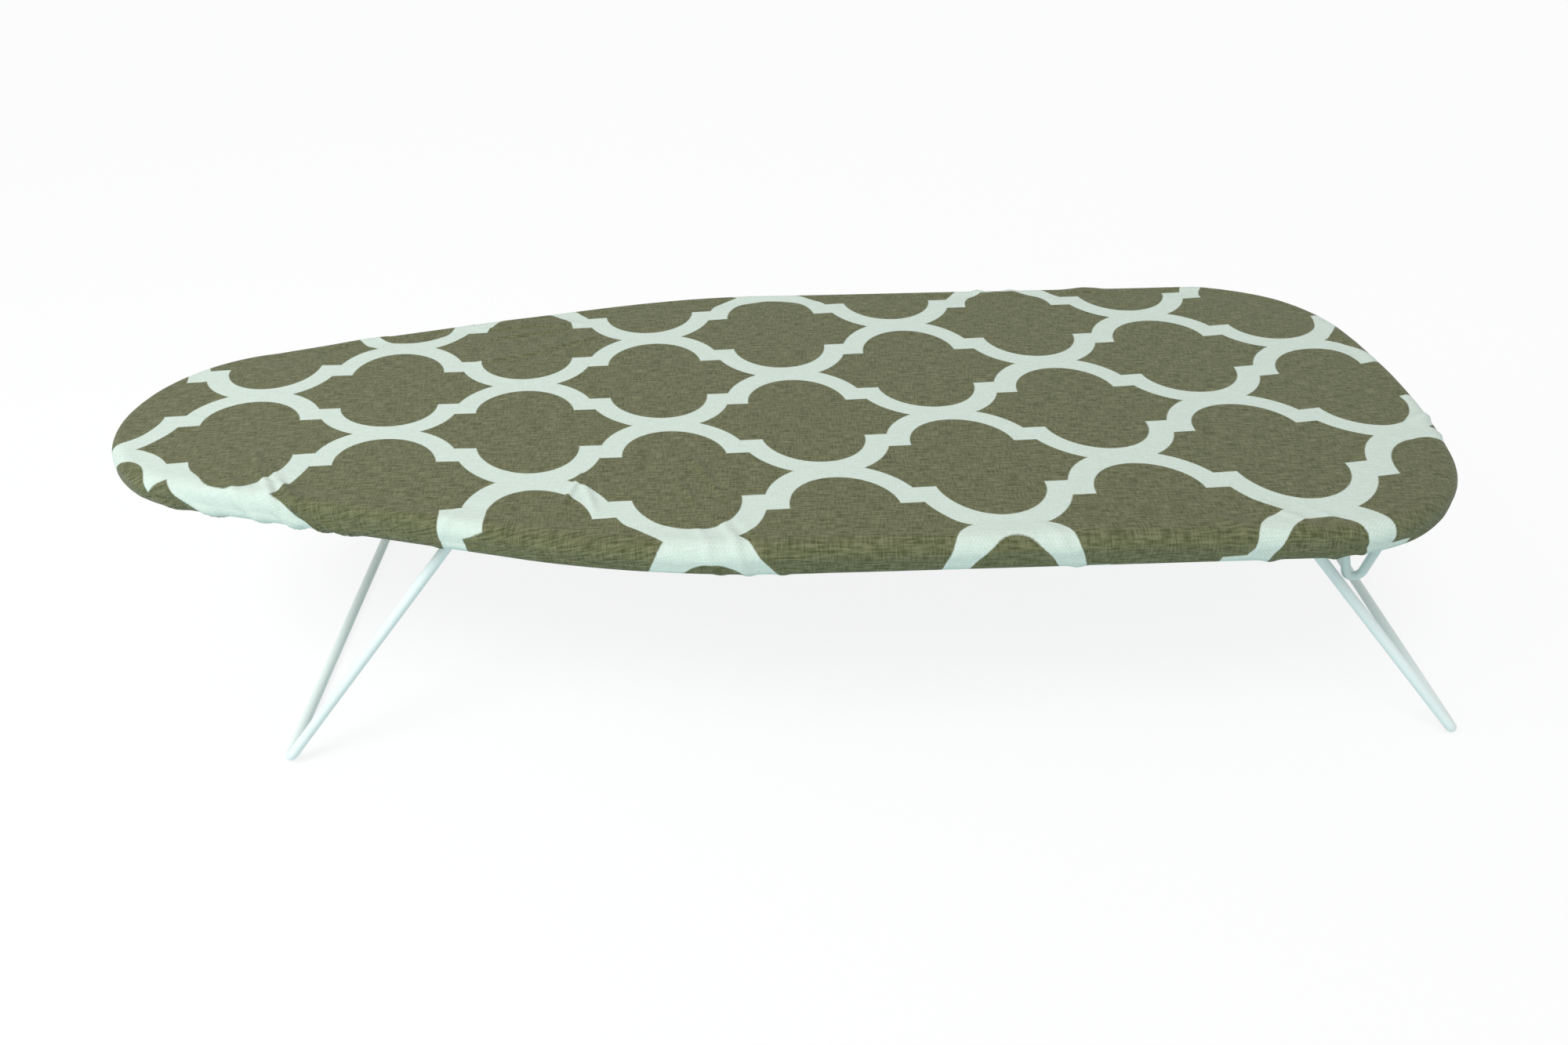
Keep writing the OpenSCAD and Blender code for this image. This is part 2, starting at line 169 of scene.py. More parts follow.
# Polyester powder coat, sprayed and baked: white with a green tint, half gloss, with the fine
# ripple called orange peel, about 1.5 mm from crest to crest. Its tone shifts over 60 mm.
def powder_coat(name, colour, shade):
    made, tree, surface = finish_of(name)
    place = node(tree, "TexCoord").outputs["Object"]
    peel = node(tree, "TexNoise", {"Vector": place, "Scale": 1 / 0.0015, "Detail": 1.5})
    tone = node(tree, "TexNoise", {"Vector": place, "Scale": 1 / 0.06, "Detail": 3.0}).outputs["Fac"]
    tint = node(tree, "Mix", {"Factor": tone, "A": linear(colour), "B": linear(shade)}, data_type="RGBA")
    gloss = node(tree, "MapRange", {"Value": tone, "To Min": 0.3, "To Max": 0.42})
    ripple = node(tree, "Bump", {"Height": peel.outputs["Fac"], "Strength": 0.08, "Distance": 0.0002})
    feed(tree, surface, {
        "Base Color": tint.outputs["Result"],
        "Roughness": gloss.outputs[0],
        "Normal": ripple.outputs[0],
        "IOR": 1.5,
    })
    return made


frame_coat = powder_coat("powder_coated_steel", "DBE8E5", "CFDEDA")
for name in (
    "rim_frame", "nose_cross_bar", "middle_cross_bar", "wide_cross_bar", "tail_cross_bar",
    "nose_near_bracket", "nose_far_bracket", "wide_near_bracket", "wide_far_bracket",
    "nose_near_stop", "nose_far_stop", "wide_near_stop", "wide_far_stop",
):
    cad_nodes[name].data.materials[0] = frame_coat

mesh_coat = powder_coat("powder_coated_mesh", "D6DFDB", "CBD5D0")
cad_nodes["top_mesh"].data.materials[0] = mesh_coat

# ---------------------------------------------------------------------------------------------
# Weld beads. Short fillet welds, laid by hand, that join each bar to the rim and each stop to
# its bar. They are coated with the frame, and their ripple still shows through the coat.
# ---------------------------------------------------------------------------------------------
bead_rings, bead_sides = 25, 10
bead_ripple = 0.0011
bar_bead_r, stop_bead_r, hook_bead_r = 0.0015, 0.0013, 0.0010
down = Vector((0, 0, -1))


def bead(start, end, radius, seat):
    """Rings of a bead from start to end, rippled, with round ends and flatter towards its seat."""
    run = end - start
    length = run.length
    run.normalize()
    out = seat.normalized()
    side = run.cross(out)
    points = []
    for step in range(bead_rings):
        share = step / (bead_rings - 1)
        round_end = max(0.06, 1 - (2 * share - 1) ** 6) ** 0.5
        ripple = 1 + 0.07 * math.cos(2 * math.pi * share * length / bead_ripple)
        swell = radius * round_end * ripple
        for turn in range(bead_sides):
            a = 2 * math.pi * turn / bead_sides
            across = math.cos(a) * side + 0.75 * math.sin(a) * out
            points.append(start + run * length * share + swell * across)
    return points


# Two beads across each end of a bar, in the corner between it and the rim
welds = []
for name in ("nose_cross_bar", "middle_cross_bar", "wide_cross_bar", "tail_cross_bar"):
    bar_low, bar_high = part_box(name)
    underneath = [v.co for v in cad_nodes[name].data.vertices if v.co.z < bar_low.z + 1e-5]
    near_end = 0.9 * bar_high.y - 0.02
    for edge in (-1, 1):
        tips = sorted((p for p in underneath if p.y * edge > near_end), key=lambda p: p.x)
        left, right = tips[0], tips[-1]
        corner = Vector((0, edge * 0.0006, -0.0004))
        for shares in ((0.08, 0.38), (0.62, 0.92)):
            first, last = (left.lerp(right, share) + corner for share in shares)
            welds.append(bead(first, last, bar_bead_r, Vector((0, -edge, -1))))

# One bead across each arm of a V stop, at both edges of its bar
tail_low, tail_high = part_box("tail_cross_bar")
half_bead = 0.0032
for name in ("wide_near_stop", "wide_far_stop"):
    stop_low, stop_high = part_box(name)
    middle_y = (stop_low.y + stop_high.y) / 2
    for x in (tail_low.x, tail_high.x):
        first = Vector((x, middle_y - half_bead, tail_low.z))
        last = Vector((x, middle_y + half_bead, tail_low.z))
        welds.append(bead(first, last, stop_bead_r, down))

# Eight beads in a ring round the root of each hook
hook_r, ring_r = 0.0025, 0.0027
for name in ("nose_near_stop", "nose_far_stop"):
    hook_low, hook_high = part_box(name)
    root_x = (hook_low.x + hook_high.x) / 2
    root_y = hook_low.y + hook_r if hook_low.y > 0 else hook_high.y - hook_r
    root_z = hook_high.z - 0.0003
    angles = [2 * math.pi * eighth / 8 for eighth in range(9)]
    ring = [Vector((root_x + ring_r * math.cos(a), root_y + ring_r * math.sin(a), root_z)) for a in angles]
    for first, last in zip(ring, ring[1:]):
        welds.append(bead(first, last, hook_bead_r, down))

weld_faces = []
for n in range(len(welds)):
    first_ring = n * bead_rings * bead_sides
    last_ring = first_ring + (bead_rings - 1) * bead_sides
    for ring in range(first_ring, last_ring, bead_sides):
        for turn in range(bead_sides):
            a, b = ring + turn, ring + (turn + 1) % bead_sides
            weld_faces.append((a, b, b + bead_sides, a + bead_sides))
    weld_faces.append([first_ring + turn for turn in range(bead_sides - 1, -1, -1)])
    weld_faces.append([last_ring + turn for turn in range(bead_sides)])
weld_mesh = bpy.data.meshes.new("weld_beads")
weld_mesh.from_pydata([p for weld in welds for p in weld], [], weld_faces)
weld_mesh.shade_smooth()
weld_beads = bpy.data.objects.new("weld_beads", weld_mesh)
scene.collection.objects.link(weld_beads)
weld_beads.data.materials.append(frame_coat)
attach(weld_beads, "board")

# ---------------------------------------------------------------------------------------------
# Rivets. Mild steel, zinc-plated and set cold after coating, two to a bracket. They hold the
# brackets to the cross bars.
# ---------------------------------------------------------------------------------------------
# Zinc plate: a bluish grey metal with a fine grain, here of 0.6 mm, that breaks up its shine.
zinc, tree, surface = finish_of("zinc_plated_steel")
place = node(tree, "TexCoord").outputs["Object"]
grain = node(tree, "TexNoise", {"Vector": place, "Scale": 1 / 0.0006, "Detail": 2.0})
rough = node(tree, "MapRange", {"Value": grain.outputs["Fac"], "To Min": 0.28, "To Max": 0.45})
feed(tree, surface, {"Base Color": linear("C4C9CC"), "Metallic": 1.0, "Roughness": rough.outputs[0]})
cad_nodes["bracket_rivets"].data.materials[0] = zinc

# ---------------------------------------------------------------------------------------------
# Legs. Each is one 6 mm steel wire bent to a flat-bottomed loop, its two ends turned in and
# sprung into the bored ears of its brackets. Powder-coated as the frame is.
# ---------------------------------------------------------------------------------------------
leg_coat = powder_coat("powder_coated_wire", "EEF5F3", "E3EDEA")
for name in ("nose_leg", "wide_leg"):
    cad_nodes[name].data.materials[0] = leg_coat

# ---------------------------------------------------------------------------------------------
# Foam pad. One sheet of 6 mm open-cell polyurethane foam, die-cut to the board's outline. It
# lies loose on the mesh and swells a little into its openings, and the cover holds it there.
# ---------------------------------------------------------------------------------------------
board_low, board_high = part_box("cotton_cover")
nose_x, top_z = board_low.x, board_high.z
board_length, board_half = board_high.x - nose_x, board_high.y
end_x = nose_x + board_length
nose_r, shoulder_r, corner_r = 0.084, 0.475, 0.092
flank, side, tail = math.radians(15.6), math.radians(0.5), math.radians(10)


def towards(angle):
    """Directions at these angles from +X."""
    return np.array([np.cos(angle), np.sin(angle)]).T


# The outline is a nose arc, flank, shoulder arc, side, corner arc and bowed end, each tangent
# to the next, and the same again mirrored.
nose_c = np.array([nose_x + nose_r, 0])
flank_n, side_n = math.pi / 2 + flank, math.pi / 2 - side
flank_l = (board_half - shoulder_r * (1 - math.cos(flank)) - nose_r * math.cos(flank)) / math.sin(flank)
shoulder_c = nose_c + (nose_r - shoulder_r) * towards(flank_n) + flank_l * towards(flank)
corner_0 = shoulder_c + (shoulder_r - corner_r) * towards(side_n)
bow = math.tan(tail / 2)
side_l = (end_x - corner_0[0] - corner_r - bow * corner_0[1]) / (math.cos(side) - bow * math.sin(side))
corner_c = corner_0 + side_l * towards(-side)
tail_r = corner_r + corner_c[1] / math.sin(tail)
tail_c = np.array([end_x - tail_r, 0])


def edge_stations(step):
    """Points about a step apart round the board's outline, and the outward direction at each."""
    places, outs = [], []
    for centre, radius, start, end, length in (
        (nose_c, nose_r, math.pi, flank_n, 0),
        (shoulder_c, shoulder_r, flank_n, flank_n, flank_l),
        (shoulder_c, shoulder_r, flank_n, side_n, 0),
        (corner_c, corner_r, side_n, side_n, side_l),
        (corner_c, corner_r, side_n, tail, 0),
        (tail_c, tail_r, tail, 0, 0),
    ):
        n = math.ceil((length or radius * abs(end - start)) / step)
        share = (np.arange(n) / n)[:, None]
        angle = start + (end - start) * share[:, 0]
        back = towards(start - math.pi / 2) * length * (share - 1)
        places.append(centre + radius * towards(angle) + back)
        outs.append(towards(angle))
    places = np.concatenate([*places, [[end_x, 0]]])
    outs = np.concatenate([*outs, [[1, 0]]])
    mirrored = np.array([1, -1])
    places = np.concatenate([places, places[-2:0:-1] * mirrored])
    return places, np.concatenate([outs, outs[-2:0:-1] * mirrored])


def rings(places, outs, section):
    """Points of each station's section, given as (distance outwards, height)."""
    flat = places[:, None] + outs[:, None] * section[None, :, :1]
    return np.concatenate([flat, np.broadcast_to(section[None, :, 1:], (*flat.shape[:2], 1))], axis=2)


def strips(stations, points, closed=False):
    """Four-sided faces between neighbouring stations and neighbouring points of a section."""
    i, j = np.meshgrid(np.arange(stations), np.arange(points if closed else points - 1), indexing="ij")
    k, l = (i + 1) % stations, (j + 1) % points
    return np.stack([i * points + j, k * points + j, k * points + l, i * points + l], -1).reshape(-1, 4)


def staggered(low, high, step):
    """Points a step apart in staggered rows between two corners."""
    rows = []
    for n, y in enumerate(np.arange(low[1] + step / 2, high[1], step * 0.87)):
        x = np.arange(low[0] + (n % 2) * step / 2, high[0], step)
        rows.append(np.stack([x, np.full_like(x, y)], -1))
    return np.concatenate(rows)


def fill_inside(ring, outs, step, fine_near=None):
    """Points about a step apart within a ring of points, half that in places, and triangles."""
    grid = staggered(ring.min(0), ring.max(0), step)
    if fine_near:
        fine = staggered(ring.min(0), ring.max(0), step * 0.45)
        grid = np.concatenate([grid[~fine_near(grid)], fine[fine_near(fine)]])
    near = ((grid[:, None] - ring[None]) ** 2).sum(-1).argmin(1)
    grid = grid[((grid - ring[near]) * outs[near]).sum(-1) < -0.6 * step]
    count = len(ring)
    verts, _, faces, _, _, _ = delaunay_2d_cdt(
        [Vector(p) for p in np.concatenate([ring, grid])], [], [list(range(count))], 1, 1e-7
    )
    assert len(verts) == count + len(grid)
    return grid, np.array(faces)


def new_piece(name, points, faces):
    """A smoothly shaded piece, made from its points and faces."""
    sheet = bpy.data.meshes.new(name)
    sheet.from_pydata([tuple(p) for p in points], [], [tuple(f) for f in faces])
    sheet.update()
    sheet.shade_smooth()
    piece = bpy.data.objects.new(name, sheet)
    scene.collection.objects.link(piece)
    return piece


# The sheet's edge, as distances outwards from the board's outline: it is rounded at the top
# where the cover pulls it down, and stays a hair inside the cover.
foam_low, foam_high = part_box("foam_pad")
foam_out = foam_high.x - end_x - 0.0004
foam_round = 0.0057
foam_flat = -0.016
quarter = np.radians(np.linspace(0, 90, 7))
crown = [
    (foam_out - foam_round + foam_round * math.cos(a), foam_high.z - foam_round + foam_round * math.sin(a))
    for a in quarter
]
section = np.array([
    (foam_flat, foam_low.z),
    (foam_flat / 2, foam_low.z),
    (foam_out, foam_low.z),
    *crown,
    (foam_flat, foam_high.z),
])
places, outs = edge_stations(0.004)
edge = rings(places, outs, section)
grid, inner = fill_inside(edge[:, 0, :2], outs, 0.0035)
stations, steps = edge.shape[:2]

# The openings of the mesh: long diamonds in staggered rows, into which the foam sinks 0.9 mm
mesh_pitch = np.array([0.048, 0.020])
half_opening = np.array([0.0204, 0.0085])
column = np.abs(grid) / mesh_pitch
depth = np.zeros(len(grid))
for shift in (0, 0.5):
    off_centre = np.abs((column + shift) - np.round(column + shift)) * mesh_pitch
    depth = np.maximum(depth, 1 - (off_centre / half_opening).sum(-1))
sunk = 0.0009 * np.clip(depth * 2.2, 0, 1) ** 0.7

ring_low = np.arange(stations) * steps
ring_high = ring_low + steps - 1
count = stations * steps
low_ids = np.concatenate([ring_low, count + np.arange(len(grid))])
high_ids = np.concatenate([ring_high, count + len(grid) + np.arange(len(grid))])
points = np.concatenate([
    edge.reshape(-1, 3),
    np.c_[grid, foam_low.z - sunk],
    np.c_[grid, np.full(len(grid), foam_high.z)],
])
faces = [*strips(stations, steps), *low_ids[inner[:, ::-1]], *high_ids[inner]]
foam = new_piece("foam_sheet", points, faces)

# Polyurethane foam, slab-cut: ivory and fully matt, with open cells all over its cut faces. The
# cells are about 0.6 mm across and drawn at 0.9 mm, so that they show.
foam_cut, tree, surface = finish_of("cut_polyurethane_foam")
place = node(tree, "TexCoord").outputs["Object"]
cells = node(tree, "TexVoronoi", {"Vector": place, "Scale": 1 / 0.0009}).outputs["Distance"]
pores = node(tree, "MapRange", {"Value": cells, "From Min": 0.1, "From Max": 0.6}).outputs[0]
# Painted shade: each cell is darker in its hollow and lighter on the walls round it
tint = node(tree, "Mix", {"Factor": pores, "A": linear("C9BE9F"), "B": linear("EBE4CE")}, data_type="RGBA")
pits = node(tree, "Bump", {"Height": pores, "Strength": 0.5, "Distance": 0.0004})
feed(tree, surface, {"Base Color": tint.outputs["Result"], "Normal": pits.outputs[0], "Roughness": 0.95})
foam.data.materials.append(foam_cut)
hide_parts("foam_pad")
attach(foam, "board")

# ---------------------------------------------------------------------------------------------
# Cover. One piece of plain-woven cotton, printed with a quatrefoil lattice, pulled over the pad
# and drawn in under the rim by its elastic hem. It gathers at the nose and the two corners.
# ---------------------------------------------------------------------------------------------
# The middle of the cloth, from the hem round the rim to the flat top, as (distance outwards from
# the board's outline, height). It turns a 6 mm round under the rim and a 7 mm round over the foam.
cloth_t = 0.0005
mid = cloth_t / 2 + 0.0002
under_r, over_r = 0.006, 0.007
under_z = board_low.z + mid
quarter = np.radians([0, 22, 45, 67, 90])
section = [(-0.0138, under_z + 0.0014), (-0.0122, under_z + 0.0004), (-0.0105, under_z), (-0.0083, under_z)]
section += [
    (-under_r + (under_r - mid) * math.sin(a), board_low.z + under_r - (under_r - mid) * math.cos(a))
    for a in quarter
]
section += [(-mid, board_low.z + 0.0088)]
section += [
    (-over_r + (over_r - mid) * math.cos(a), top_z - over_r + (over_r - mid) * math.sin(a))
    for a in quarter
]
section += [(d, top_z - mid) for d in (-0.0098, -0.0128, -0.0160, -0.0195, -0.0235, -0.028)]
section = np.array(section)

# From this point inwards the cloth lies as it was cut. Outside it, the length of the section was
# cut straight outwards.
on_top = 13
stride = np.linalg.norm(np.diff(section, axis=0), axis=1)
cut_out = section[:, 0].copy()
for j in range(on_top, -1, -1):
    cut_out[j] = cut_out[j + 1] + stride[j]

places, outs = edge_stations(0.0034)
band = rings(places, outs, section)
stations, steps = band.shape[:2]
cut = places[:, None] + outs[:, None] * cut_out[None, :, None]

# Along the hem the cloth has more length than the elastic leaves room for, so it is ruffled. The
# ruffles are 16.5 mm apart, wander a little, and die away within five points of the section.
round_hem = np.linalg.norm(np.roll(band[:, 0], -1, 0) - band[:, 0], axis=1)
round_cut = np.linalg.norm(np.roll(cut[:, 0], -1, 0) - cut[:, 0], axis=1)
spare = np.clip(1 - round_hem / round_cut, 0, 0.4)
for _ in range(12):
    spare = (np.roll(spare, 1) + spare * 2 + np.roll(spare, -1)) / 4
along = np.cumsum(round_cut)
rng = np.random.default_rng(7)
wander = np.interp(along, np.linspace(0, along[-1], 60), np.cumsum(rng.normal(0, 1.1, 60)))
ruffle = np.sin(2 * math.pi * along / 0.0165 + wander) * (0.25 + 2.2 * spare)
ruffle_fade = np.exp(-((np.arange(steps) / 5.0) ** 2))
ruffle_rise = 0.0011

# The direction that each point of the cloth faces
slope = np.gradient(band, axis=1)
slope_out = np.einsum("ijk,ik->ij", slope[..., :2], outs)
length = np.hypot(slope_out, slope[..., 2])
face_out, face_up = -slope[..., 2] / length, slope_out / length
facing = np.concatenate([outs[:, None] * face_out[..., None], face_up[..., None]], axis=2)
facing *= np.sign(facing[:, on_top:, 2].mean())

start = band + facing * (ruffle[:, None] * ruffle_fade * ruffle_rise)[..., None]


def settle_cloth(start, cut):
    """Runs the cloth over the padded edge, from the drawn shape towards the size it was cut to."""
    # The solver holds better at ten times the size
    big = 10
    last_frame = 25
    cloth = new_piece("cover_settling", start.reshape(-1, 3) * big, strips(stations, steps))
    cloth.shape_key_add(name="drawn")
    flat = cloth.shape_key_add(name="as_cut")
    flat_points = np.concatenate([cut.reshape(-1, 2), np.zeros((stations * steps, 1))], axis=1) * big
    flat.data.foreach_set("co", flat_points.ravel())
    flat.value = 0
    # The hem is held by its elastic, and the flat top by the rest of the cloth
    held = cloth.vertex_groups.new(name="held")
    for j, weight in enumerate([1.0, 0.6] + [0.0] * (steps - 6) + [0.2, 0.5, 1.0, 1.0]):
        held.add([i * steps + j for i in range(stations)], weight, "REPLACE")

    # The padded edge under it, drawn 1.2 mm inside the cloth
    inset = 0.0012
    turns = [0, 4, on_top - 4, on_top]
    inside = section.copy()
    inside[:, 0] -= inset * np.interp(np.arange(steps), turns, [0, 1, 1, 0])
    inside[:, 1] += np.interp(np.arange(steps), turns, [inset, inset, -inset, -inset])
    body = new_piece("padded_edge", rings(places, outs, inside).reshape(-1, 3) * big, strips(stations, steps))
    body.modifiers.new("firm", "COLLISION")
    body.collision.thickness_outer = 0.002
    body.collision.cloth_friction = 8

    cotton = cloth.modifiers.new("cotton", "CLOTH")
    cotton.settings.quality = 6
    cotton.settings.mass = 0.25
    cotton.settings.air_damping = 3
    cotton.settings.tension_stiffness = 30
    cotton.settings.compression_stiffness = 30
    cotton.settings.shear_stiffness = 8
    cotton.settings.bending_stiffness = 0.6
    cotton.settings.vertex_group_mass = "held"
    cotton.settings.rest_shape_key = flat
    cotton.settings.effector_weights.gravity = 0
    cotton.collision_settings.distance_min = 0.002
    cotton.collision_settings.use_self_collision = False
    cotton.point_cache.frame_start = 1
    cotton.point_cache.frame_end = last_frame + 1
    for number in range(1, last_frame + 1):
        scene.frame_set(number)
    shown = cloth.evaluated_get(bpy.context.evaluated_depsgraph_get()).data
    found = np.zeros(stations * steps * 3, np.float32)
    shown.vertices.foreach_get("co", found)
    scene.frame_set(1)
    bpy.data.objects.remove(cloth)
    bpy.data.objects.remove(body)
    return found.reshape(stations, steps, 3) / big


# The cloth may settle by at most 3.2 mm outwards, 0.3 mm inwards and 3 mm along itself
settled = settle_cloth(start, cut)
moved = settled - band
outwards = (moved * facing).sum(-1)
slide = moved - outwards[..., None] * facing
slide *= np.minimum(1, 0.003 / np.maximum(np.linalg.norm(slide, axis=2), 1e-9))[..., None]
lift = np.clip(outwards, -0.0003, 0.0032)
for _ in range(2):
    lift = (np.roll(lift, 1, 0) + 2 * lift + np.roll(lift, -1, 0)) / 4
band = band + slide + facing * lift[..., None]

# Creases pressed in by the elastic's pull, in mm: start, end, width and height. They fan in from
# the hem where the outline turns, and a few lie where the cloth was folded in its packet.
creases = (
    ((-284, -48), (-242, -140), 2.4, 2.2),
    ((-272, -62), (-224, -142), 2.0, 1.8),
    ((-262, -84), (-208, -140), 2.4, 1.6),
    ((-296, -66), (-266, -124), 2.2, 1.4),
    ((-324, -78), (-292, -112), 2.2, 1.8),
    ((-350, -66), (-322, -98), 2.6, 1.2),
    ((-38, -66), (-20, -108), 1.7, 1.7),
    ((-47, -84), (-32, -118), 1.8, 1.1),
    ((-26, -112), (-2, -182), 2.6, 1.2),
    ((-38, -122), (-16, -182), 2.4, 0.7),
    ((-12, -126), (18, -180), 2.6, 0.8),
    ((-98, -80), (-106, -120), 1.7, 1.7),
    ((-97, -84), (-86, -118), 2.2, 1.2),
    ((136, 176), (156, 126), 2.6, 1.3),
    ((152, 176), (180, 130), 2.6, 1.0),
    ((192, 168), (226, 146), 6.0, 2.2),
    ((-330, 86), (-250, 100), 3.0, 1.4),
    ((-186, 106), (-122, 109), 2.2, 1.8),
    ((-180, 88), (-132, 101), 2.0, 1.4),
    ((-148, 67), (-110, 87), 2.0, 1.4),
    ((-178, 57), (-138, 68), 2.0, 1.2),
    ((396, -30), (356, -48), 2.6, 1.2),
    ((398, -46), (360, -66), 2.6, 0.9),
    ((300, -178), (254, -122), 2.6, 1.1),
    ((318, -180), (276, -128), 2.4, 0.9),
    ((270, -180), (226, -132), 2.6, 1.2),
    ((170, -182), (140, -138), 2.6, 0.9),
    ((-180, -150), (-150, -100), 2.6, 0.8),
)


def along_crease(places, crease):
    """For each point on the cloth, its share of the way along a crease and its distance off it."""
    (x0, y0), (x1, y1) = crease[:2]
    start_at, run = np.array([x0, y0]) / 1000, np.array([x1 - x0, y1 - y0]) / 1000
    share = np.clip(((places - start_at) @ run) / (run @ run), 0, 1)
    return share, np.linalg.norm(places - start_at - share[:, None] * run, axis=1)


flat_mid = np.array([nose_x + board_length / 2, 0])


def near_crease(places):
    """True for the points within 9 mm of a crease, where the sheet needs a finer mesh."""
    return np.min([along_crease(places - flat_mid, crease)[1] for crease in creases], axis=0) < 0.009


grid, inner = fill_inside(places + outs * section[-1, 0], outs, 0.0055, near_crease)
points = np.concatenate([band.reshape(-1, 3), np.c_[grid, np.full(len(grid), top_z - mid)]])
cloth_place = np.concatenate([cut.reshape(-1, 2), grid]) - flat_mid

# The cloth was pulled on by hand, so its print lies off true. All of this is in mm. Its cross
# rows bow: the far edge lags by 9 mm behind the middle, and the near edge by 3. The near edge is
# drawn together along its wide half and pulled down, and the print leans back at the wide end.
x, y = 1000 * cloth_place.T
half = np.clip(170 + 0.28 * x, 84, 152)
far = np.clip(y / half, 0, 1.2)
near = np.clip(-y / half, 0, 1.2)
bowed = 1.6 - 9 * far**1.2 - 2.6 * near**2
drawn_in = 0.045 * np.maximum(x, -40) * np.clip((near - 0.6) / 0.4, 0, 1.2) ** 2
pulled_down = 6 * np.clip((near - 0.65) / 0.35, 0, 1.3) ** 2
leans_back = 17 * np.clip((x - 150) / 230, 0, 1.1) ** 3
drift_x = bowed + drawn_in
drift_y = pulled_down - leans_back
# Tugs left by the hand: where, how far (along, across), and reach (along, across)
for (at_x, at_y), (by_x, by_y), (reach_x, reach_y) in (
    ((80, 130), (0, -6), (120, 50)),
    ((80, 5), (0, 2.5), (160, 45)),
    ((-150, 90), (0, 3), (80, 60)),
    ((-235, -55), (1, -7), (110, 45)),
    ((-310, 95), (0, -9), (60, 40)),
    ((-390, -45), (0, 7), (40, 30)),
    ((320, -80), (-3, -3), (60, 40)),
    ((335, -120), (0, 7), (70, 60)),
    ((400, 0), (5, 0), (50, 40)),
):
    fade = np.exp(-(((x - at_x) / reach_x) ** 2) - ((y - at_y) / reach_y) ** 2)
    drift_x = drift_x + by_x * fade
    drift_y = drift_y + by_y * fade
print_place = cloth_place + np.stack([drift_x, drift_y], -1) / 1000

last = np.arange(stations) * steps + steps - 1
ids = np.concatenate([last, stations * steps + np.arange(len(grid))])
faces = [*strips(stations, steps)[:, ::-1], *ids[inner]]
cover = new_piece("cotton_print_cover", points, faces)
corner_ids = np.zeros(len(cover.data.loops), np.int32)
cover.data.loops.foreach_get("vertex_index", corner_ids)
for name, place in (("cloth_metres", cloth_place), ("print_metres", print_place)):
    layer = cover.data.uv_layers.new(name=name)
    layer.data.foreach_set("uv", place[corner_ids].astype(np.float32).ravel())

# The sheet is made finer here, so that the creases below have enough points
finer = cover.modifiers.new("finer", "SUBSURF")
finer.levels = 1
depsgraph = bpy.context.evaluated_depsgraph_get()
fine_sheet = bpy.data.meshes.new_from_object(
    cover.evaluated_get(depsgraph), preserve_all_data_layers=True, depsgraph=depsgraph
)
cover.modifiers.remove(finer)
cover.data = fine_sheet
count = len(fine_sheet.vertices)
points = np.zeros(count * 3, np.float32)
fine_sheet.vertices.foreach_get("co", points)
points = points.reshape(-1, 3)
corner_ids = np.zeros(len(fine_sheet.loops), np.int32)
fine_sheet.loops.foreach_get("vertex_index", corner_ids)
corner_places = np.zeros(len(corner_ids) * 2, np.float32)
fine_sheet.uv_layers["cloth_metres"].data.foreach_get("uv", corner_places)
cloth_place = np.zeros((count, 2))
cloth_place[corner_ids] = corner_places.reshape(-1, 2)

# Each crease is a round ridge that sinks away towards its ends
height = np.zeros(count)
for crease in creases:
    share, off = along_crease(cloth_place, crease)
    width, rise = crease[2] / 1000, crease[3] / 1000
    height += rise * np.exp(-((off / width) ** 2)) * np.sin(math.pi * (0.12 + 0.76 * share)) ** 0.8
normals = np.array([v.normal for v in fine_sheet.vertices])
placed = points + normals * height[:, None]
fine_sheet.vertices.foreach_set("co", placed.ravel())
fine_sheet.update()
thick = cover.modifiers.new("thick", "SOLIDIFY")
thick.thickness = cloth_t
thick.offset = 0

# Plain-woven cotton, 130 g/m2, pigment-printed. Its threads are 0.4 mm apart and drawn at 1 mm,
# so that they show. Slubs make short darker and lighter streaks along both threads.
cotton, tree, surface = finish_of("printed_cotton")
cloth_uv = node(tree, "UVMap", uv_map="cloth_metres").outputs[0]
print_uv = node(tree, "UVMap", uv_map="print_metres").outputs[0]

# The lattice repeats every 159.5 mm along and 114.2 mm across. It was cut 2.4 degrees off the
# board's line, with its cross rows 8.4 degrees off square. Each cell is a quatrefoil: two round
# lobes, joined at a flat-sided waist that two larger rounds notch.
repeat_x, repeat_y = 0.1595, 0.1142
lean_x, lean_y = math.radians(2.36), math.radians(100.8)
origin = (-0.2720, -0.1497)
lobe_at, lobe_r = 0.0203, 0.0287
notch_at, notch_r = (0.0797, 0.0368), 0.0414
waist_half = 0.0217
det = math.sin(lean_y - lean_x)
rows = (
    (math.sin(lean_y) / det / repeat_x, -math.cos(lean_y) / det / repeat_x, 0),
    (-math.sin(lean_x) / det / repeat_y, math.cos(lean_x) / det / repeat_y, 0),
)
# How far each point lies from the middle of its cell, counted in repeats and folded at the half
from_cell = node(tree, "VectorMath", {0: print_uv, 1: (*origin, 0)}, operation="SUBTRACT").outputs[0]
halves = []
for row in rows:
    repeats = node(tree, "VectorMath", {0: from_cell, 1: row}, operation="DOT_PRODUCT").outputs["Value"]
    halves.append(node(tree, "Math", {0: repeats, 1: 0.5}, operation="PINGPONG").outputs[0])
